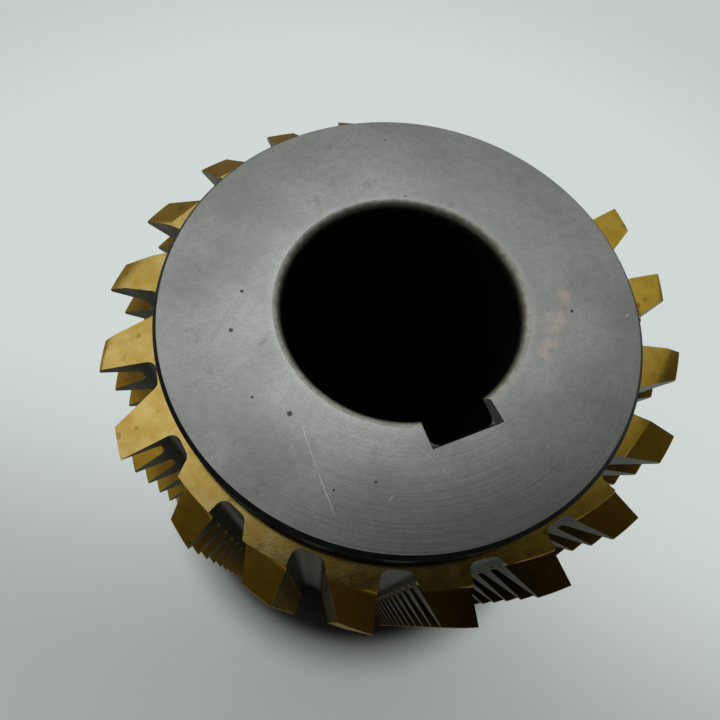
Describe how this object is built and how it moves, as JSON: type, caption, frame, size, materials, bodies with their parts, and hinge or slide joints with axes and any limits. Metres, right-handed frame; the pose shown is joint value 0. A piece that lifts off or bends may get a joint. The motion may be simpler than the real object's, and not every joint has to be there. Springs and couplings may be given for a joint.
{
  "type": "gear hob",
  "caption": "Coated cylindrical gear-cutting hob with relieved thread-form teeth, straight chip gashes, plain ground hubs and a keyed through bore.",
  "frame": {"origin": "centre of the bore in the plane of the lower hub face", "axes": "+Z along the bore towards the upper hub face, keyway on the -Y side"},
  "size_m": [0.0988, 0.0988, 0.12],
  "materials": {
    "coated_steel": "gold hard coating on the teeth and end planes, ground bare steel on hubs, bore and cutting faces"
  },
  "bodies": {
    "root": {"hob": "coated_steel"}
  },
  "joints": []
}
